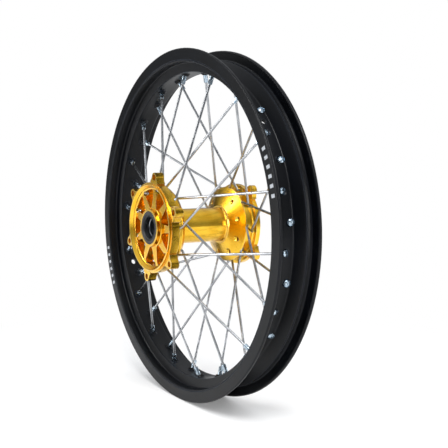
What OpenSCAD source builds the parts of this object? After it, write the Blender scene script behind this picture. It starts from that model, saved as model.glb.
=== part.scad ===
// Off-road motorcycle rear wheel without its tyre, in millimetres.
// The origin is the wheel's centre on the axle line, midway between the rim's flanges.
// +Y runs along the axle towards the disc side and +Z is up.
// Angles are measured about the axle from +X towards +Z.

/* [Rim] */
// Radius of the rim over its flanges
rim_r = 255.5; // [255:0.1:256]
// Half the width of the rim over its flanges
rim_half_w = 32.6; // [32.2:0.1:33]
// Radius of the bead seats
seat_r = 241.3; // [241:0.1:241.6]
// Half the distance between the two flanges' inner walls
seat_half_w = 27.3; // [27:0.1:27.6]
// Radius of the drop centre's floor, inside the tyre channel
well_r = 227.5; // [227:0.1:228]
// Half the width of the flat floor of the drop centre
well_half_w = 9.5; // [9:0.1:10]
// Thickness of the drop centre's floor
well_wall = 5; // [4.6:0.1:5.2]
// Radius of the tyre valve's hole and of the rim lock's hole
valve_hole_r = 4.2; // [4:0.1:5]

/* [Hub] */
// Radius of the round register that centres the sprocket
register_r = 62.5; // [62.5:0.1:63]
// Radius of the circle through the sprocket bolt holes
sprocket_pc_r = 73; // [72:0.5:74]
// Radius of a sprocket bolt hole
sprocket_hole_r = 4.2; // [4:0.1:4.5]
// Radius of the round end of a sprocket ear
sprocket_ear_r = 6.8; // [6.5:0.1:7.2]
// Radius of the circle through the disc bolt holes
disc_pc_r = 67; // [66:0.5:68]
// Radius of a disc bolt hole
disc_hole_r = 3.3; // [3:0.1:3.6]
// Radius of the round end of a disc lug
disc_lug_r = 8; // [7.5:0.1:8.5]
// Radius of the round register that centres the disc
disc_register_r = 55; // [54.5:0.1:55.5]
// Radius of the barrel between the spoke flanges
barrel_r = 25.2; // [25:0.1:26]

/* [Bearings] */
// Radius of the axle bore through the inner races and the spacer tube
axle_r = 12.5; // [12.3:0.1:12.7]
// Radius of the bearing seats in the hub
bearing_r = 23.5; // [23.4:0.1:23.6]
// Width of one bearing
bearing_w = 12; // [11.8:0.1:12]
// Number of balls in one bearing
ball_count = 10; // [8:1:10]

/* [Spokes] */
// Radius of a spoke's wire
wire_r = 1.75; // [1.6:0.05:1.8]
// Radius of the elbow's bend, to the middle of the wire
elbow_r = 6; // [5:0.5:7]
// Radius of a nipple's body
nipple_r = 3.2; // [3:0.05:3.3]
// Angle about the axle from a pair of spokes at the hub to either of its nipples
lacing_angle = 30; // [29:0.5:31]

/* [Hidden] */
// Where the hub's faces lie along the axle. Sprocket side first, all negative.
boss_y = -77.9;
lip_y = -78.2;
ear_face_y = -75;
ear_back_y = -62.5;
cup_floor_y = -71.5;
pocket_floor_y = -59.5;
drum_back_y = -55.5;
flange_edge_y = -49;
flange_root_y = -39.5;
// Disc side, all positive
disc_flange_root_y = 41;
disc_flange_edge_y = 51.8;
disc_groove_y = 54.3;
lug_back_y = 67.5;
lug_face_y = 75;
disc_register_y = 77.5;
disc_cup_floor_y = 71;
disc_pocket_floor_y = 62;
disc_boss_y = 79;
// Bearing and seal places along the axle
seal_w = 5.6;
seal_inset = 0.1;
circlip_y = -72.1;
circlip_w = 1.6;
circlip_gap = 0.05;
circlip_lug_r = 2.6;
circlip_lug_turn = 13;
circlip_eye_r = 1;
bearing_out_y = -70.4;
bearing_mid_y = bearing_out_y + bearing_w;
bearing_in_y = bearing_mid_y + bearing_w;
bearing_disc_y = 61;
BEARINGS = [bearing_out_y, bearing_mid_y, bearing_disc_y];
// Bearing section
ball_r = 3.3;
ball_pc_r = (axle_r + bearing_r) / 2;
groove_r = 3.6;
inner_race_r = 15.6;
outer_race_r = 20.4;
race_chamfer = 0.3;
race_corner = 0.6;
cage_w = 7.8;
cage_wall = 1.6;
cage_gap = 0.1;
shield_w = 0.8;
shield_gap = 0.4;
shield_inset = 0.5;
shield_lip_gap = 0.05;
fit_gap = 0.02;
// Radii in the hub
hub_core_r = 20.6;
boss_r = 26.6;
cup_r = 57.6;
drum_r = 60;
flange_r = 55;
disc_flange_r = 56;
disc_drum_r = 53.6;
disc_cup_r = 50;
circlip_groove_r = bearing_r + 1.1;
// The rings that the ears and lugs stand on, and the hollows that blend an ear or lug into its ring
ear_ring_r = sprocket_pc_r - 8;
ear_blend_r = 14;
lug_ring_r = disc_pc_r - 6.5;
lug_blend_r = 22;
// Relief cut round the sprocket's register, so that the sprocket seats on the ears
relief_w = 1.7;
relief_h = 0.5;
// Nine pairs of spokes on each side. PAIR is the angle of the first pair.
PAIRS = 9;
PAIR_STEP = 360 / PAIRS;
PAIR_SPROCKET = 5;
PAIR_DISC = -5;
// Seat of a nipple in the rim: radius and distance from the rim's middle plane
nipple_seat_r = well_r - well_wall / 2;
nipple_y = 5;
// A spoke's head and the corner of its elbow, as radius, angle from its pair, and y
HEAD_PLUS_SPROCKET = [54, -8, -68.5];
BEND_PLUS_SPROCKET = [61, -0.5, -57];
HEAD_MINUS_SPROCKET = [51, 11, -61];
BEND_MINUS_SPROCKET = [57.5, 3, -49.5];
HEAD_PLUS_DISC = [46, -10, 73.5];
BEND_PLUS_DISC = [55.5, -2, 62.5];
HEAD_MINUS_DISC = [46.5, 11, 63.5];
BEND_MINUS_DISC = [57, 3, 52.5];
// Milled pockets between the pairs of spokes: their angle from the pair, and the radii, reach and half
// spread of their round ends on the sprocket side, then on the disc side
pocket_turn = 15.5;
pocket_inner_x = 33.5;
pocket_inner_r = 5;
pocket_outer_x = 50;
pocket_outer_y = 8.6;
pocket_outer_r = 4.8;
disc_pocket_outer_x = 43.5;
disc_pocket_outer_y = 6.6;
disc_pocket_outer_r = 4.2;
// Countersunk lightening holes in the disc side's spoke flange
flange_hole_pc_r = 43.8;
flange_hole_turn = 13.7;
flange_hole_r = 2.9;
flange_sink_r = 5.2;
flange_sink_h = 3.6;
flange_face_h = 4.4;
// A spoke's head, and how far its wire runs into the nipple past the nipple's seat
head_r = 3.4;
spoke_end = 1.5;
// The elbow is this much thicker than the wire, which laps into it by elbow_lap
elbow_swell = 0.04;
elbow_lap = 0.3;
leg_hole_gap = 0.2;
head_hole_gap = 0.5;
// How deep the hole over a spoke's head is cut, for a spoke that leans forwards and for one that doesn't
head_hole_plus = 7;
head_hole_minus = 6;
// A nipple's lengths along its own axis, from its seat
nipple_tail = -16.5;
nipple_flats_h = 6.5;
nipple_cone_z = 1;
nipple_top = 5.6;
nipple_head_r = 4.7;
nipple_hole_gap = 0.25;
crown_r = 6.6;
slot_w = 1.3;
slot_h = 1.5;
thread_gap = 0.05;
// Raised seat under each nipple inside the rim, and the dimple over it
boss_r1 = 5.2;
boss_r2 = 7.6;
boss_h = 3.9;
boss_z = -4.6;
dimple_r = 7.2;
dimple_h = 4;
dimple_z = 0.9;
EARS = 6;
EAR_TURN = 20;
LUGS = 4;
LUG_TURN = 50;
VALVE_ANGLE = 40;
RIM_LOCK_ANGLE = 200;
// Width of the plain part of an eared ring, and how far a blend laps what it joins
ring_w = 4.8;
blend_lap = 0.15;
// How far the faces of the ears and lugs stand proud of their ring
pad_h = 0.3;
// Larger than any cut needs
far = 400;
$fn = 96;

function two_digits(n) = str(n < 10 ? "0" : "", n);
SPOKES = [for (i = [1:4 * PAIRS]) str("spoke_", two_digits(i))];

// ---- Vectors ----
function polar(p, turn) = [p[0] * cos(p[1] + turn), p[2], p[0] * sin(p[1] + turn)];
function unit(v) = v / norm(v);
function arc(cx, cy, r, a0, a1, steps) =
  [for (i = [0:steps]) [cx + r * cos(a0 + (a1 - a0) * i / steps), cy + r * sin(a0 + (a1 - a0) * i / steps)]];
function mirrored(points) = [for (i = [len(points) - 1:-1:0]) [points[i][0], -points[i][1]]];

// ---- Placing ----
module at_angle(a) {
  rotate([0, -a, 0]) children();
}

// A profile of [radius, y] points turned about the axle
module turned() {
  rotate([-90, 0, 0]) rotate_extrude(convexity = 8) children();
}

// A round bar along Y from y0 to y1
module rod(r, y0, y1) {
  translate([0, y0, 0]) rotate([-90, 0, 0]) cylinder(r = r, h = y1 - y0);
}

// A flat plate from y0 to y1, its outline drawn looking along -Y with +X right and +Z up
module plate(y0, y1) {
  translate([0, y1, 0]) rotate([90, 0, 0]) linear_extrude(y1 - y0, convexity = 8) children();
}

// Puts +Z along direction d at the point p
module along(p, d) {
  side = unit(cross(abs(d[1]) < 0.9 ? [0, 1, 0] : [1, 0, 0], d));
  up = cross(d, side);
  multmatrix([[side[0], up[0], d[0], p[0]], [side[1], up[1], d[1], p[1]],
    [side[2], up[2], d[2], p[2]], [0, 0, 0, 1]]) children();
}

// ---- Spoke lines ----
// Spoke i: 0 to 17 on the sprocket side, 18 to 35 on the disc side. Even ones lean forwards.
function on_disc_side(i) = i >= 2 * PAIRS;
function leans_forward(i) = i % 2 == 0;
function pair_angle(i) =
  (on_disc_side(i) ? PAIR_DISC : PAIR_SPROCKET) + PAIR_STEP * floor((i % (2 * PAIRS)) / 2);
function head_point(i) = polar(on_disc_side(i)
  ? (leans_forward(i) ? HEAD_PLUS_DISC : HEAD_MINUS_DISC)
  : (leans_forward(i) ? HEAD_PLUS_SPROCKET : HEAD_MINUS_SPROCKET), pair_angle(i));
function bend_point(i) = polar(on_disc_side(i)
  ? (leans_forward(i) ? BEND_PLUS_DISC : BEND_MINUS_DISC)
  : (leans_forward(i) ? BEND_PLUS_SPROCKET : BEND_MINUS_SPROCKET), pair_angle(i));
function seat_point(i) = polar([nipple_seat_r, leans_forward(i) ? lacing_angle : -lacing_angle,
  on_disc_side(i) ? nipple_y : -nipple_y], pair_angle(i));
function leg_way(i) = unit(bend_point(i) - head_point(i));
function wire_way(i) = unit(seat_point(i) - bend_point(i));

// ---- Rim ----
function rim_half() = concat(
  [[well_r, 0], [well_r, well_half_w - 2]],
  arc(well_r + 2.5, well_half_w - 2, 2.5, 180, 118, 3),
  [[seat_r - 1.6, 17.4], [seat_r + 0.3, 18.9], [seat_r + 0.5, 20.3], [seat_r - 0.9, 22.2]],
  [[seat_r - 0.1, seat_half_w - 1.8]],
  arc(seat_r + 1.7, seat_half_w - 1.5, 1.6, 180, 90, 3),
  [[rim_r - 4.4, seat_half_w + 0.4]],
  arc(rim_r - 2.5, seat_half_w + 2.8, 2.5, 250, 360, 6),
  arc(rim_r - 1.6, rim_half_w - 1.6, 1.6, 0, 90, 4),
  [[seat_r - 1.9, rim_half_w], [seat_r - 2.5, rim_half_w - 0.7], [seat_r - 3.1, rim_half_w - 0.2]],
  arc(seat_r - 3.3, rim_half_w - 1.8, 1.6, 90, 180, 4),
  [[seat_r - 4.6, 20.7]],
  arc(seat_r - 7.1, 20.7, 2.6, 0, -60, 4),
  arc(well_r - well_wall + 4.6, 13.6, 4.4, 150, 180, 3),
  [[well_r - well_wall, well_half_w]]
);

// One drop-centre section turned into a ring, with a dimple and an angled hole for every nipple
module rim() color("#1d2026") {
  half = rim_half();
  difference() {
    union() {
      turned() polygon(concat(half, mirrored([for (i = [1:len(half) - 1]) half[i]])));
      for (i = [0:4 * PAIRS - 1]) along(seat_point(i), wire_way(i)) translate([0, 0, boss_z])
        cylinder(r1 = boss_r1, r2 = boss_r2, h = boss_h);
    }
    for (i = [0:4 * PAIRS - 1]) along(seat_point(i), wire_way(i)) {
      translate([0, 0, -15]) cylinder(r = nipple_r + nipple_hole_gap, h = 20);
      translate([0, 0, dimple_z]) cylinder(r1 = nipple_r + 0.4, r2 = dimple_r, h = dimple_h);
    }
    for (a = [VALVE_ANGLE, RIM_LOCK_ANGLE]) {
      at_angle(a) translate([well_r - 15, 0, 0]) rotate([0, 90, 0]) cylinder(r = valve_hole_r, h = 30);
    }
  }
}

// ---- Hub ----
// A flat ring with count round ears, which stand pad_h proud of it, from y0 to y1. A hollow of radius
// blend_r on both sides of an ear blends it into the ring, which it and the ear lap by blend_lap.
module eared_ring(y0, y1, base_r, count, pc_r, ear_r, blend_r, turn) {
  reach = base_r + blend_r;
  blend_x = (reach * reach - (ear_r + blend_r) * (ear_r + blend_r) + pc_r * pc_r) / (2 * pc_r);
  blend_z = sqrt(reach * reach - blend_x * blend_x);
  difference() {
    union() {
      rod(base_r, y0 + pad_h, y1 - pad_h);
      for (k = [0:count - 1]) at_angle(turn + k * 360 / count) {
        translate([pc_r, 0, 0]) rod(ear_r, y0, y1);
        plate(y0, y1) polygon([[base_r - 12, 0], [blend_x, -blend_z], [pc_r, 0], [blend_x, blend_z]]);
      }
    }
    rod(base_r - ring_w, y0 - 1, y1 + 1);
    for (k = [0:count - 1], s = [-1, 1]) at_angle(turn + k * 360 / count) {
      translate([blend_x, 0, s * blend_z]) rod(blend_r + blend_lap, y0 - 1, y1 + 1);
    }
  }
}

// A pocket with a narrow round inner end and a wide outer end, pointing along +X
module pocket_outline(inner_x, inner_r, outer_x, outer_y, outer_r) {
  run = [outer_x - inner_x, outer_y];
  swing = atan2(run[1], run[0]) + acos((inner_r - outer_r) / norm(run));
  side = [cos(swing), sin(swing)];
  translate([inner_x, 0]) circle(r = inner_r);
  for (s = [-1, 1]) translate([outer_x, s * outer_y]) circle(r = outer_r);
  polygon([
    [inner_x + inner_r * side[0], inner_r * side[1]],
    [outer_x + outer_r * side[0], outer_y + outer_r * side[1]],
    [outer_x + outer_r, outer_y],
    [outer_x + outer_r, -outer_y],
    [outer_x + outer_r * side[0], -outer_y - outer_r * side[1]],
    [inner_x + inner_r * side[0], -inner_r * side[1]]
  ]);
}

// The turned blank: sprocket carrier, drum, barrel, disc drum and carrier, with its bore
module hub_blank() {
  turned() polygon(concat(
    [[bearing_r, boss_y + 0.6], [bearing_r + 0.5, boss_y], [boss_r - 0.6, boss_y], [boss_r, boss_y + 0.6]],
    [[boss_r + 0.4, cup_floor_y - 1.6]],
    arc(boss_r + 2, cup_floor_y - 1.6, 1.6, 180, 90, 3),
    arc(cup_r - 2.4, cup_floor_y - 2.4, 2.4, 90, 0, 4),
    [[cup_r + 2.6, lip_y + 0.8], [cup_r + 3.4, lip_y]],
    [[register_r - 0.6, lip_y], [register_r, lip_y + 0.6]],
    [[register_r, ear_back_y - 2], [drum_r, ear_back_y - 1]],
    [[drum_r, drum_back_y - 1]],
    arc(drum_r - 3, drum_back_y - 1, 3, 0, 50, 4),
    [[flange_r + 0.4, flange_edge_y - 1], [flange_r - 0.4, flange_edge_y]],
    [[barrel_r + 3, flange_root_y + 0.6]],
    arc(barrel_r + 3, flange_root_y + 3.6, 3, -90, -180, 4),
    [[barrel_r, disc_flange_root_y - 3.4]],
    [[barrel_r + 1, disc_flange_root_y - 2], [barrel_r + 2.6, disc_flange_root_y - 2]],
    [[barrel_r + 3, disc_flange_root_y]],
    [[disc_flange_r - 1.8, disc_flange_edge_y], [disc_flange_r, disc_flange_edge_y + 0.9]],
    [[disc_flange_r, disc_flange_edge_y + 1.6], [disc_drum_r, disc_groove_y]],
    arc(disc_drum_r + 2.4, lug_back_y - 2.2, 2.4, 180, 90, 3),
    [[disc_drum_r + 2.4, lug_face_y - 2], [disc_register_r, lug_face_y - 1.2]],
    [[disc_register_r, disc_register_y - 0.6], [disc_register_r - 0.6, disc_register_y]],
    [[disc_cup_r + 0.8, disc_register_y], [disc_cup_r, disc_register_y - 0.8]],
    arc(disc_cup_r - 2, disc_cup_floor_y + 2, 2, 0, -90, 3),
    arc(boss_r + 2, disc_cup_floor_y + 1.6, 1.6, -90, -180, 3),
    [[boss_r, disc_boss_y - 0.6], [boss_r - 0.6, disc_boss_y], [bearing_r + 0.5, disc_boss_y]],
    [[bearing_r, disc_boss_y - 0.6], [bearing_r, bearing_disc_y], [hub_core_r, bearing_disc_y]],
    [[hub_core_r, bearing_in_y], [bearing_r, bearing_in_y]]
  ));
}

// A bent spoke's short hole through the hub and the seat of its head
module leg_hole(i, open_h) {
  leg = norm(bend_point(i) - head_point(i));
  along(head_point(i), leg_way(i)) {
    translate([0, 0, 1]) cylinder(r = wire_r + leg_hole_gap, h = leg + 2);
    translate([0, 0, -open_h]) cylinder(r = head_r + head_hole_gap, h = open_h + 1.1);
    translate([0, 0, 1]) cylinder(r1 = head_r + head_hole_gap, r2 = wire_r + leg_hole_gap, h = 1.6);
  }
}

module hub() color("goldenrod") {
  difference() {
    union() {
      hub_blank();
      difference() {
        eared_ring(
          ear_face_y, ear_back_y, ear_ring_r, EARS, sprocket_pc_r, sprocket_ear_r, ear_blend_r, EAR_TURN
        );
        rod(register_r + relief_w, ear_face_y - 1, ear_face_y + relief_h);
      }
      eared_ring(lug_back_y, lug_face_y, lug_ring_r, LUGS, disc_pc_r, disc_lug_r, lug_blend_r, LUG_TURN);
    }
    for (k = [0:PAIRS - 1]) {
      plate(cup_floor_y - 4, pocket_floor_y) rotate(PAIR_SPROCKET + pocket_turn + k * PAIR_STEP)
        pocket_outline(pocket_inner_x, pocket_inner_r, pocket_outer_x, pocket_outer_y, pocket_outer_r);
      plate(disc_pocket_floor_y, disc_cup_floor_y + 4) rotate(PAIR_DISC + pocket_turn + k * PAIR_STEP)
        pocket_outline(
          pocket_inner_x, pocket_inner_r, disc_pocket_outer_x, disc_pocket_outer_y, disc_pocket_outer_r
        );
      at_angle(flange_hole_turn + k * PAIR_STEP) translate([flange_hole_pc_r, 0, 0]) {
        rod(flange_hole_r, disc_flange_root_y, disc_pocket_floor_y + 1);
        translate([0, disc_flange_root_y + flange_face_h, 0]) rotate([-90, 0, 0])
          cylinder(r1 = flange_sink_r, r2 = flange_hole_r, h = flange_sink_h);
      }
    }
    for (i = [0:4 * PAIRS - 1]) leg_hole(i, leans_forward(i) ? head_hole_plus : head_hole_minus);
    for (k = [0:EARS - 1]) at_angle(EAR_TURN + k * 360 / EARS) translate([sprocket_pc_r, 0, 0]) {
      rod(sprocket_hole_r, ear_face_y - 1, ear_back_y + 1);
    }
    for (k = [0:LUGS - 1]) at_angle(LUG_TURN + k * 360 / LUGS) translate([disc_pc_r, 0, 0]) {
      rod(disc_hole_r, lug_back_y - 1, lug_face_y + 1);
    }
    rod(circlip_groove_r, circlip_y, circlip_y + circlip_w + 2 * circlip_gap);
  }
}

// ---- Bearings, seals and spacer ----
module each_bearing() {
  for (y = BEARINGS) translate([0, y + bearing_w / 2, 0]) children();
}

module groove_section() {
  translate([ball_pc_r, 0]) circle(r = groove_r);
}

// A race from radius r0 to r1, its corners chamfered by c0 at r0 and by c1 at r1
module race_section(r0, c0, r1, c1) {
  h = bearing_w / 2 - fit_gap;
  polygon([
    [r0, -h + c0], [r0 + c0, -h], [r1 - c1, -h], [r1, -h + c1],
    [r1, h - c1], [r1 - c1, h], [r0 + c0, h], [r0, h - c0]
  ]);
}

module bearing_outer_races() color("lightsteelblue") each_bearing() turned() difference() {
  race_section(outer_race_r, race_chamfer, bearing_r - fit_gap, race_corner);
  groove_section();
}

module bearing_inner_races() color("lightsteelblue") each_bearing() turned() difference() {
  race_section(axle_r, race_chamfer, inner_race_r, race_chamfer);
  groove_section();
}

module bearing_balls() color("gainsboro") each_bearing() {
  for (k = [0:ball_count - 1]) at_angle(k * 360 / ball_count) translate([ball_pc_r, 0, 0]) sphere(r = ball_r);
}

module bearing_cages() color("darkgoldenrod") each_bearing() difference() {
  turned() translate([ball_pc_r - cage_wall / 2, -cage_w / 2]) square([cage_wall, cage_w]);
  for (k = [0:ball_count - 1]) at_angle(k * 360 / ball_count) rotate([0, 90, 0])
    translate([0, 0, ball_pc_r - 4]) cylinder(r = ball_r + cage_gap, h = 8);
}

module bearing_shields() color("#2a2a2a") each_bearing() for (s = [-1, 1]) {
  middle_y = s * (bearing_w / 2 - shield_inset - shield_w / 2);
  turned() translate([inner_race_r + shield_gap, middle_y - shield_w / 2])
    square([outer_race_r - inner_race_r - shield_gap - shield_lip_gap, shield_w]);
}

// Internal retaining ring with a gap and two drilled lugs at its top
module bearing_circlip() color("slategray") difference() {
  union() {
    difference() {
      rod(circlip_groove_r - 0.1, circlip_y + circlip_gap, circlip_y + circlip_w);
      rod(bearing_r - 2.2, circlip_y - 1, circlip_y + circlip_w + 1);
    }
    for (s = [-1, 1]) at_angle(90 + s * circlip_lug_turn) translate([bearing_r - 3.2, 0, 0])
      rod(circlip_lug_r, circlip_y + circlip_gap, circlip_y + circlip_w);
  }
  for (s = [-1, 1]) at_angle(90 + s * circlip_lug_turn) translate([bearing_r - 3.4, 0, 0])
    rod(circlip_eye_r, circlip_y - 1, circlip_y + circlip_w + 1);
  plate(circlip_y - 1, circlip_y + circlip_w + 1)
    polygon([[0, 12], [2.6, 12], [3.4, 26], [-3.4, 26], [-2.6, 12]]);
}

// Rubber seal: a flat outer ring, a hollow face and a thin lip, from its outer face inwards
module seal() turned() polygon([
  [bearing_r - fit_gap, 0.4], [bearing_r - 0.5, 0], [19.6, 0], [19, 0.5],
  [18.6, 1.6], [17.6, 1.9], [16.4, 0.9], [16, 1.2],
  [16, 1.9], [17.2, 3.4], [17.4, 4.6], [18.6, 4.8],
  [19.8, 3.6], [21.2, 3.6], [21.2, seal_w], [bearing_r - fit_gap, seal_w]
]);

module seal_sprocket_side() color("#18191b") translate([0, boss_y + seal_inset, 0]) seal();
module seal_disc_side() color("#18191b") translate([0, disc_boss_y - seal_inset, 0]) mirror([0, 1, 0]) seal();

module spacer_tube() color("silver") difference() {
  rod(inner_race_r + 0.6, bearing_in_y, bearing_disc_y);
  rod(axle_r, bearing_in_y - 1, bearing_disc_y + 1);
}

// ---- Spokes ----
// Coned head in the hub, short leg, round elbow, and a straight wire that ends inside its nipple.
// It is drawn flat, with the elbow's centre at the origin, and then laid into the wheel.
module spoke(i) color("silver") {
  way = leg_way(i);
  turn = acos(way * wire_way(i));
  trim = elbow_r * tan(turn / 2);
  leg = norm(bend_point(i) - head_point(i)) - trim;
  wire = norm(seat_point(i) - bend_point(i)) - trim + spoke_end;
  inward = unit(wire_way(i) - (way * wire_way(i)) * way);
  centre = bend_point(i) - trim * way + elbow_r * inward;
  axis = cross(way, inward);
  multmatrix([[-inward[0], way[0], axis[0], centre[0]], [-inward[1], way[1], axis[1], centre[1]],
    [-inward[2], way[2], axis[2], centre[2]], [0, 0, 0, 1]]) {
    translate([elbow_r, -leg, 0]) rotate([-90, 0, 0]) {
      cylinder(r = wire_r, h = leg + elbow_lap);
      rotate_extrude() polygon(concat([[0, -1.5]], arc(0, 1.1, 2.6, -70, -35, 3),
        [[head_r, 0.2], [head_r, 1], [wire_r + elbow_swell, 2.5], [0, 2.5]]));
    }
    rotate_extrude(angle = turn) translate([elbow_r, 0]) circle(r = wire_r + elbow_swell);
    rotate([0, 0, turn]) translate([elbow_r, -elbow_lap, 0]) rotate([-90, 0, 0])
      cylinder(r = wire_r, h = wire + elbow_lap);
  }
}

// ---- Nipples ----
// Slotted conical head seated in the rim's dimple, and a long body with four flats on its tail
module nipple() difference() {
  rotate_extrude() polygon(concat(
    [[wire_r + thread_gap, nipple_tail], [nipple_r - 0.4, nipple_tail], [nipple_r, nipple_tail + 0.5]],
    [[nipple_r, nipple_cone_z], [nipple_head_r, nipple_cone_z + 1.3], [nipple_head_r, nipple_top - 1.3]],
    arc(0, nipple_top - crown_r, crown_r, 45, 90, 5),
    [[0, 3], [wire_r + thread_gap, 2.4]]
  ));
  translate([-far / 2, -slot_w / 2, nipple_top - slot_h]) cube([far, slot_w, 5]);
  for (a = [0:90:270]) rotate(a) translate([nipple_r - 0.45, -nipple_r, nipple_tail - 1])
    cube([5, 2 * nipple_r, nipple_flats_h + 1]);
}

module nipples(first) color("lightsteelblue") {
  for (i = [first:first + 2 * PAIRS - 1]) along(seat_point(i), wire_way(i)) nipple();
}

rim();
hub();
nipples(0);  // nipples_sprocket_side
nipples(2 * PAIRS);  // nipples_disc_side
spacer_tube();
bearing_inner_races();
bearing_outer_races();
bearing_balls();
bearing_cages();
bearing_shields();
bearing_circlip();
seal_sprocket_side();
seal_disc_side();
for (i = [0:4 * PAIRS - 1]) spoke(i);
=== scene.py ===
import math

import bmesh
import bpy
from mathutils import Matrix, Vector

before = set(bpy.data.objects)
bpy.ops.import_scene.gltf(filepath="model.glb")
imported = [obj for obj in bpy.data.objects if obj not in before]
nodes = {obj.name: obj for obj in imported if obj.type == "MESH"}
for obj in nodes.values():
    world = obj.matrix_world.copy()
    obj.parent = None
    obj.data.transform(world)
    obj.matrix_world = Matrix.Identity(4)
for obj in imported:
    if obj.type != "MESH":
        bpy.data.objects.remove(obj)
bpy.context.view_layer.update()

# ---- Rim ----
# A drop-centre rim, extruded in 7000-series aluminium, rolled into a hoop and butt welded.
# It is bead blasted and then anodised black, which leaves a soft satin skin over fine extrusion lines.
# The CAD node has the true section, so it stays and only takes its finish here.


def linear(code):
    """An sRGB hex colour as linear red, green, blue and alpha."""
    parts = [int(code[i:i + 2], 16) / 255 for i in (1, 3, 5)]
    return [c / 12.92 if c <= 0.04045 else ((c + 0.055) / 1.055) ** 2.4 for c in parts] + [1.0]


def add(tree, kind, inputs=None, **settings):
    """Adds one node. A value in inputs is a plain value, or another node's socket to link from."""
    node = tree.nodes.new(kind)
    for name, value in settings.items():
        setattr(node, name, value)
    for name, value in (inputs or {}).items():
        if isinstance(value, bpy.types.NodeSocket):
            tree.links.new(value, node.inputs[name])
        else:
            node.inputs[name].default_value = value
    return node


def new_finish(name, uniform):
    """A named material with the values that are the same all over it on the shader's own sockets."""
    finish = bpy.data.materials.new(name)
    finish.use_nodes = True
    shader = finish.node_tree.nodes["Principled BSDF"]
    for socket, value in uniform.items():
        shader.inputs[socket].default_value = value
    return finish, finish.node_tree, shader


def about_axle(tree):
    """Sockets for a point's angle about the axle in radians, its radius and its y, in metres."""
    place = add(tree, "ShaderNodeTexCoord")
    parts = add(tree, "ShaderNodeSeparateXYZ", {0: place.outputs["Object"]})
    flat = add(tree, "ShaderNodeCombineXYZ", {"X": parts.outputs["X"], "Z": parts.outputs["Z"]})
    radius = add(tree, "ShaderNodeVectorMath", {0: flat.outputs[0]}, operation="LENGTH")
    angle = add(tree, "ShaderNodeMath", {0: parts.outputs["Z"], 1: parts.outputs["X"]}, operation="ARCTAN2")
    return angle.outputs[0], radius.outputs["Value"], parts.outputs["Y"], place.outputs["Object"]


def colour_between(tree, factor, low, high, start=0.0, end=1.0):
    """A colour that runs from low to high as factor goes from start to end."""
    ramp = add(tree, "ShaderNodeValToRGB", {0: factor})
    ramp.color_ramp.elements[0].position = start
    ramp.color_ramp.elements[0].color = linear(low)
    ramp.color_ramp.elements[1].position = end
    ramp.color_ramp.elements[1].color = linear(high)
    return ramp.outputs["Color"]


def spread(tree, factor, low, high):
    """A number from low to high as factor goes from 0 to 1."""
    return add(tree, "ShaderNodeMapRange", {"Value": factor, "To Min": low, "To Max": high}).outputs[0]


def sum_of(tree, operation, first, second):
    """One step of arithmetic on two numbers or sockets."""
    return add(tree, "ShaderNodeMath", {0: first, 1: second}, operation=operation).outputs[0]


def painted_edge_highlight(tree, width):
    """A mask for a painted edge highlight: 1 along sharp edges and 0 on flat or softly curved skin, over
    about width metres.
    """
    rounded = add(tree, "ShaderNodeBevel", {"Radius": width}, samples=6)
    flat = add(tree, "ShaderNodeNewGeometry")
    same = add(tree, "ShaderNodeVectorMath", {
        0: rounded.outputs[0], 1: flat.outputs["Normal"]}, operation="DOT_PRODUCT")
    return add(tree, "ShaderNodeMapRange", {
        "Value": same.outputs["Value"], "From Min": 0.99, "From Max": 0.86}).outputs[0]


def mixed(tree, factor, first, second):
    """A colour between two others, each an sRGB hex or a socket."""
    first, second = (linear(c) if isinstance(c, str) else c for c in (first, second))
    return add(tree, "ShaderNodeMix", {0: factor, 6: first, 7: second}, data_type="RGBA").outputs[2]


def give(finish, *names):
    """Puts a finish on CAD nodes through their own material slots."""
    for name in names:
        nodes[name].material_slots[0].material = finish


# Black anodised aluminium, bead blasted. The dyed oxide is a clear hard skin over dark metal, so it
# is nearly black face on and turns a cool grey where the light glances off.
rim_black, tree, shader = new_finish("black_anodised_aluminium", {"IOR": 1.5, "Specular IOR Level": 0.17})
angle, radius, y, place = about_axle(tree)
# Extrusion lines run round the hoop, so they depend on radius and y only, about 0.5 mm apart
section = add(tree, "ShaderNodeCombineXYZ", {"X": radius, "Y": y})
lines = add(tree, "ShaderNodeTexNoise", {"Vector": section.outputs[0], "Scale": 2000.0, "Detail": 2.0})
# The blast leaves pits of about 0.2 mm, and the dye takes a little unevenly over some 40 mm
grain = add(tree, "ShaderNodeTexNoise", {"Vector": place, "Scale": 2600.0, "Detail": 2.0})
cloud = add(tree, "ShaderNodeTexNoise", {"Vector": place, "Scale": 25.0, "Detail": 3.0})
dyed = colour_between(tree, cloud.outputs["Fac"], "#030406", "#06080d", 0.3, 0.7)
# Painted highlight: a cool grey is mixed into the dye along the sharp lips and round the nipples' dimples,
# for the thin light lines these edges show
dyed_with_painted_edges = mixed(tree, sum_of(tree, "MULTIPLY", painted_edge_highlight(tree, 0.0009), 0.55), dyed, "#454d5a")
# Two printed bands of six plain white bars, 7 mm tall, on the side wall that faces the sprocket
BAND_IN, BAND_OUT = 0.2430, 0.2500
BAND_STARTS = (math.radians(12.0), math.radians(-168.0))
BAND_TURN = math.radians(17.0)
BARS = 6
BAR_SHARE = 0.38
SIDE_WALL_Y = -0.0318
side_wall = sum_of(tree, "LESS_THAN", y, SIDE_WALL_Y)
past_in = sum_of(tree, "GREATER_THAN", radius, BAND_IN)
in_band = sum_of(tree, "MULTIPLY", past_in, sum_of(tree, "LESS_THAN", radius, BAND_OUT))
printed = 0.0
for start in BAND_STARTS:
    along = sum_of(tree, "DIVIDE", sum_of(tree, "SUBTRACT", angle, start), BAND_TURN / BARS)
    begun = sum_of(tree, "GREATER_THAN", along, 0.0)
    inside = sum_of(tree, "MULTIPLY", begun, sum_of(tree, "LESS_THAN", along, float(BARS)))
    bar = sum_of(tree, "LESS_THAN", sum_of(tree, "FRACT", along, 0.0), BAR_SHARE)
    printed = sum_of(tree, "ADD", printed, sum_of(tree, "MULTIPLY", inside, bar))
printed = sum_of(tree, "MULTIPLY", printed, sum_of(tree, "MULTIPLY", in_band, side_wall))
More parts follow.
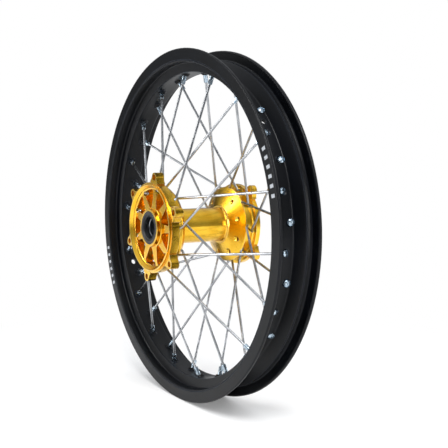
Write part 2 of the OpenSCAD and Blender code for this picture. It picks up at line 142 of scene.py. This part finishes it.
tree.links.new(mixed(tree, printed, dyed_with_painted_edges, "#a4a8ad"), shader.inputs["Base Color"])
tree.links.new(spread(tree, grain.outputs["Fac"], 0.26, 0.40), shader.inputs["Roughness"])
blast = add(tree, "ShaderNodeBump", {"Height": grain.outputs["Fac"], "Strength": 0.12, "Distance": 0.00003})
drawn = add(tree, "ShaderNodeBump", {
    "Height": lines.outputs["Fac"], "Strength": 0.16, "Distance": 0.00004, "Normal": blast.outputs[0]})
tree.links.new(drawn.outputs[0], shader.inputs["Normal"])
give(rim_black, "rim")

# ---- Hub ----
# The hub is turned and milled from one billet of 7075 aluminium: sprocket carrier, spoke drums, barrel
# and disc carrier. It is polished, and anodised gold.
hub_gold, tree, shader = new_finish("gold_anodised_aluminium", {
    "Metallic": 1.0, "Anisotropic": 0.6, "Coat Weight": 0.2, "Coat Roughness": 0.12, "Coat IOR": 1.6})
_, radius, y, place = about_axle(tree)
# Turning marks run round the axle about 0.6 mm apart, which is drawn coarser than a lathe's 0.1 mm feed
section = add(tree, "ShaderNodeCombineXYZ", {"X": radius, "Y": y})
turned = add(tree, "ShaderNodeTexNoise", {"Vector": section.outputs[0], "Scale": 1600.0, "Detail": 2.0})
cloud = add(tree, "ShaderNodeTexNoise", {"Vector": place, "Scale": 60.0, "Detail": 2.0})
gold = colour_between(tree, cloud.outputs["Fac"], "#e0ab20", "#ecbd38", 0.3, 0.7)
# Painted highlight: pale gold is mixed in along every edge for the light that the cutter's fine chamfers
# catch
tree.links.new(mixed(tree, painted_edge_highlight(tree, 0.0007), gold, "#fff0b8"), shader.inputs["Base Color"])
tree.links.new(spread(tree, turned.outputs["Fac"], 0.19, 0.29), shader.inputs["Roughness"])
# Milling passes on the ears and drums run across the axle, 2.4 mm apart
milled = add(tree, "ShaderNodeTexWave", {
    "Vector": place, "Scale": 130.0, "Distortion": 0.6, "Detail": 1.0}, bands_direction="Y")
passes = add(tree, "ShaderNodeBump", {"Height": milled.outputs["Fac"], "Strength": 0.02, "Distance": 0.00002})
marks = add(tree, "ShaderNodeBump", {
    "Height": turned.outputs["Fac"], "Strength": 0.03, "Distance": 0.00002, "Normal": passes.outputs[0]})
tree.links.new(marks.outputs[0], shader.inputs["Normal"])
# The lathe's marks run round the axle, so highlights are drawn out across them
round_axle = add(tree, "ShaderNodeVectorMath", {0: (0.0, 1.0, 0.0), 1: place}, operation="CROSS_PRODUCT")
lay = add(tree, "ShaderNodeVectorTransform", {0: round_axle.outputs[0]},
          vector_type="VECTOR", convert_from="OBJECT", convert_to="WORLD")
along_lay = add(tree, "ShaderNodeVectorMath", {0: lay.outputs[0]}, operation="NORMALIZE")
tree.links.new(along_lay.outputs[0], shader.inputs["Tangent"])
give(hub_gold, "hub")

# ---- Spacer tube ----
# A plain drawn aluminium tube, cut square. It stands between the inner races and carries the axle's
# clamping load.
spacer_plain, tree, shader = new_finish("drawn_aluminium_tube", {"Metallic": 1.0})
angle, radius, _, _ = about_axle(tree)
streaks = add(tree, "ShaderNodeCombineXYZ", {"X": angle, "Y": radius})
drawn = add(tree, "ShaderNodeTexNoise", {"Vector": streaks.outputs[0], "Scale": 40.0, "Detail": 2.0})
tree.links.new(colour_between(tree, drawn.outputs["Fac"], "#a9adb2", "#c3c7cb"), shader.inputs["Base Color"])
tree.links.new(spread(tree, drawn.outputs["Fac"], 0.28, 0.42), shader.inputs["Roughness"])
give(spacer_plain, "spacer_tube")

# ---- Bearings ----
# Three sealed ball bearings: ground steel races, lapped steel balls, a pressed brass cage and rubber
# shields. Two stand side by side under the sprocket and one is under the disc.
race_steel, tree, shader = new_finish("ground_bearing_steel", {"Metallic": 1.0})
_, radius, y, _ = about_axle(tree)
section = add(tree, "ShaderNodeCombineXYZ", {"X": radius, "Y": y})
ground = add(tree, "ShaderNodeTexNoise", {"Vector": section.outputs[0], "Scale": 3000.0, "Detail": 1.0})
tree.links.new(colour_between(tree, ground.outputs["Fac"], "#9ea3aa", "#c9cdd2"), shader.inputs["Base Color"])
tree.links.new(spread(tree, ground.outputs["Fac"], 0.14, 0.28), shader.inputs["Roughness"])
give(race_steel, "bearing_inner_races", "bearing_outer_races")

ball_steel, tree, shader = new_finish("lapped_ball_steel", {"Metallic": 1.0})
place = add(tree, "ShaderNodeTexCoord").outputs["Object"]
haze = add(tree, "ShaderNodeTexNoise", {"Vector": place, "Scale": 900.0})
tree.links.new(colour_between(tree, haze.outputs["Fac"], "#c3c6ca", "#d9dbde"), shader.inputs["Base Color"])
tree.links.new(spread(tree, haze.outputs["Fac"], 0.05, 0.11), shader.inputs["Roughness"])
give(ball_steel, "bearing_balls")

cage_brass, tree, shader = new_finish("pressed_brass", {"Metallic": 1.0})
place = add(tree, "ShaderNodeTexCoord").outputs["Object"]
rolled = add(tree, "ShaderNodeTexNoise", {"Vector": place, "Scale": 500.0, "Detail": 3.0})
tree.links.new(colour_between(tree, rolled.outputs["Fac"], "#a8813c", "#c9a35a"), shader.inputs["Base Color"])
tree.links.new(spread(tree, rolled.outputs["Fac"], 0.25, 0.45), shader.inputs["Roughness"])
give(cage_brass, "bearing_cages")

shield_rubber, tree, shader = new_finish("moulded_nitrile_shield", {"IOR": 1.5})
place = add(tree, "ShaderNodeTexCoord").outputs["Object"]
skin = add(tree, "ShaderNodeTexNoise", {"Vector": place, "Scale": 1500.0, "Detail": 2.0})
tree.links.new(colour_between(tree, skin.outputs["Fac"], "#1a1b1d", "#26282a"), shader.inputs["Base Color"])
tree.links.new(spread(tree, skin.outputs["Fac"], 0.5, 0.7), shader.inputs["Roughness"])
give(shield_rubber, "bearing_shields")

# ---- Circlip ----
# An internal retaining ring of spring steel, stamped and phosphated dark grey. It snaps into a groove
# in the hub and holds the outer bearing in.
clip_steel, tree, shader = new_finish("phosphated_spring_steel", {"Metallic": 0.8})
place = add(tree, "ShaderNodeTexCoord").outputs["Object"]
crystals = add(tree, "ShaderNodeTexNoise", {"Vector": place, "Scale": 2000.0, "Detail": 3.0})
tone = colour_between(tree, crystals.outputs["Fac"], "#3a3c3f", "#56595d")
tree.links.new(tone, shader.inputs["Base Color"])
tree.links.new(spread(tree, crystals.outputs["Fac"], 0.4, 0.6), shader.inputs["Roughness"])
give(clip_steel, "bearing_circlip")

# ---- Seals ----
# Moulded nitrile rubber seals, one on each side, pressed into the hub's bores over the bearings.
# Their lips run on the axle's collars.
seal_rubber, tree, shader = new_finish("moulded_nitrile_rubber", {"IOR": 1.52})
_, radius, y, place = about_axle(tree)
section = add(tree, "ShaderNodeCombineXYZ", {"X": radius, "Y": y})
mould = add(tree, "ShaderNodeTexNoise", {"Vector": section.outputs[0], "Scale": 1200.0})
skin = add(tree, "ShaderNodeTexNoise", {"Vector": place, "Scale": 1800.0, "Detail": 2.0})
tree.links.new(colour_between(tree, skin.outputs["Fac"], "#08090a", "#101113"), shader.inputs["Base Color"])
tree.links.new(spread(tree, mould.outputs["Fac"], 0.38, 0.56), shader.inputs["Roughness"])
bump = add(tree, "ShaderNodeBump", {"Height": skin.outputs["Fac"], "Strength": 0.3, "Distance": 0.00005})
tree.links.new(bump.outputs[0], shader.inputs["Normal"])
give(seal_rubber, "seal_sprocket_side", "seal_disc_side")

# ---- Spokes ----
# Thirty-six spokes of 3.5 mm stainless steel wire, cold drawn, headed and bent, and polished bright.
# Each hooks through the hub by its bent head and screws into a nipple at the rim.
spoke_steel, tree, shader = new_finish("polished_stainless_wire", {"Metallic": 1.0})
place = add(tree, "ShaderNodeTexCoord").outputs["Object"]
# Drawing leaves fine streaks under 1 mm wide, and the polish is a little uneven over some 30 mm
streak = add(tree, "ShaderNodeTexNoise", {"Vector": place, "Scale": 900.0, "Detail": 2.0})
polish = add(tree, "ShaderNodeTexNoise", {"Vector": place, "Scale": 35.0, "Detail": 1.0})
tone = colour_between(tree, polish.outputs["Fac"], "#8c8e91", "#b0b2b5", 0.3, 0.7)
tree.links.new(tone, shader.inputs["Base Color"])
tree.links.new(spread(tree, streak.outputs["Fac"], 0.18, 0.34), shader.inputs["Roughness"])
give(spoke_steel, *[name for name in nodes if name.startswith("spoke_")])

# ---- Nipples ----
# Brass nipples, plated with zinc to a slightly blue bright finish, with a slotted head. Each stands in
# an angled hole in the rim and pulls its spoke tight.
nipple_zinc, tree, shader = new_finish("zinc_plated_brass", {"Metallic": 1.0})
place = add(tree, "ShaderNodeTexCoord").outputs["Object"]
plate = add(tree, "ShaderNodeTexNoise", {"Vector": place, "Scale": 300.0, "Detail": 3.0})
tone = colour_between(tree, plate.outputs["Fac"], "#8394a3", "#b9c6cf", 0.3, 0.7)
tree.links.new(tone, shader.inputs["Base Color"])
tree.links.new(spread(tree, plate.outputs["Fac"], 0.16, 0.34), shader.inputs["Roughness"])
give(nipple_zinc, "nipples_sprocket_side", "nipples_disc_side")

# ---- Studio ----
# A white paper floor under the tyreless wheel, a white surround, and four softboxes round it. A weak,
# very wide sun stands for the light from the ceiling.
FLOOR_Z = -0.2555
mesh = bmesh.new()
bmesh.ops.create_circle(
    mesh, cap_ends=True, radius=6.0, segments=96, matrix=Matrix.Translation((0, 0, FLOOR_Z)))
floor_mesh = bpy.data.meshes.new("floor")
mesh.to_mesh(floor_mesh)
mesh.free()
floor = bpy.data.objects.new("floor", floor_mesh)
bpy.context.scene.collection.objects.link(floor)
paper, tree, shader = new_finish("matt_white_paper", {"Roughness": 0.9, "Specular IOR Level": 0.1})
place = add(tree, "ShaderNodeTexCoord").outputs["Object"]
fibre = add(tree, "ShaderNodeTexNoise", {"Vector": place, "Scale": 300.0, "Detail": 3.0})
tree.links.new(colour_between(tree, fibre.outputs["Fac"], "#f2f2f2", "#f7f7f7"), shader.inputs["Base Color"])
# The sweep is lit to plain white away from the wheel, so that only the contact shadow is left
reach = add(tree, "ShaderNodeVectorMath", {0: place}, operation="LENGTH")
fade = add(tree, "ShaderNodeMapRange", {
    "Value": reach.outputs["Value"], "From Min": 0.2, "From Max": 0.7, "To Min": 0.15},
    interpolation_type="SMOOTHSTEP")
glow = add(tree, "ShaderNodeEmission", {"Color": (1.0, 1.0, 1.0, 1.0), "Strength": 1.0})
eye = add(tree, "ShaderNodeLightPath")
lit = sum_of(tree, "MULTIPLY", fade.outputs[0], eye.outputs["Is Camera Ray"])
sweep = add(tree, "ShaderNodeMixShader", {0: lit, 1: shader.outputs[0], 2: glow.outputs[0]})
tree.links.new(sweep.outputs[0], tree.nodes["Material Output"].inputs["Surface"])
floor_mesh.materials.append(paper)

surround = bpy.data.worlds.new("white_surround")
surround.use_nodes = True
bpy.context.scene.world = surround
seen = surround.node_tree.nodes["Background"]
seen.inputs["Color"].default_value = (1.0, 1.0, 1.0, 1.0)
# The room is bright overhead and dim at the walls, which gives the black rim dark sides and light slopes
way = add(surround.node_tree, "ShaderNodeTexCoord")
height = add(surround.node_tree, "ShaderNodeSeparateXYZ", {0: way.outputs["Generated"]})
level = add(surround.node_tree, "ShaderNodeMapRange", {
    "Value": height.outputs["Z"], "From Min": 0.0, "From Max": 0.9, "To Min": 0.09, "To Max": 0.8})
room = add(surround.node_tree, "ShaderNodeBackground", {
    "Color": (0.93, 0.96, 1.0, 1.0), "Strength": level.outputs[0]})
eye = add(surround.node_tree, "ShaderNodeLightPath")
both = add(surround.node_tree, "ShaderNodeMixShader", {
    0: eye.outputs["Is Camera Ray"], 1: room.outputs[0], 2: seen.outputs[0]})
surround.node_tree.links.new(both.outputs[0], surround.node_tree.nodes["World Output"].inputs["Surface"])


def soft_lamp(name, place, aim, width, height, watts):
    """A rectangular softbox at place, turned to face aim."""
    lamp = bpy.data.lights.new(name, "AREA")
    lamp.shape = "RECTANGLE"
    lamp.size = width
    lamp.size_y = height
    lamp.energy = watts
    holder = bpy.data.objects.new(name, lamp)
    bpy.context.scene.collection.objects.link(holder)
    holder.location = place
    holder.rotation_euler = (Vector(aim) - Vector(place)).to_track_quat("-Z", "Y").to_euler()


soft_lamp("key_softbox", (1.3, -0.7, 1.9), (0, 0, 0), 1.1, 1.1, 48)
soft_lamp("side_softbox", (-1.2, -1.9, 0.7), (0, 0, 0), 0.45, 1.8, 30)
soft_lamp("back_softbox", (1.0, 2.1, 0.9), (0, 0, 0), 0.8, 1.6, 26)
soft_lamp("strip_softbox", (2.3, 0.5, 0.2), (0, 0, 0), 0.22, 1.6, 16)
sky = bpy.data.lights.new("ceiling_glow", "SUN")
sky.energy = 0.3
sky.angle = math.radians(120)
ceiling = bpy.data.objects.new("ceiling_glow", sky)
bpy.context.scene.collection.objects.link(ceiling)

# ---- Camera ----
# It stands off the wheel's sprocket side, a little above the axle, with a lens of about 65 mm, and is
# turned slightly so that the wheel sits left of the middle.
camera_data = bpy.data.cameras.new("camera")
camera_data.sensor_fit = "HORIZONTAL"
camera_data.sensor_width = 36.0
camera_data.lens = 64.84
azimuth, elevation, distance = math.radians(59.738), math.radians(4.679), 1.1952
flat_reach = math.cos(elevation)
back = Vector((math.sin(azimuth) * flat_reach, -math.cos(azimuth) * flat_reach, math.sin(elevation)))
heading = math.atan2(-back.y, -back.x) + math.radians(-2.0239)
tilt = math.asin(-back.z) + math.radians(0.093)
aim = Vector((math.cos(tilt) * math.cos(heading), math.cos(tilt) * math.sin(heading), math.sin(tilt)))
camera = bpy.data.objects.new("camera", camera_data)
bpy.context.scene.collection.objects.link(camera)
camera.location = back * distance
camera.rotation_euler = aim.to_track_quat("-Z", "Y").to_euler()
bpy.context.scene.camera = camera
bpy.context.scene.view_settings.view_transform = "Standard"
bpy.context.scene.view_settings.look = "None"
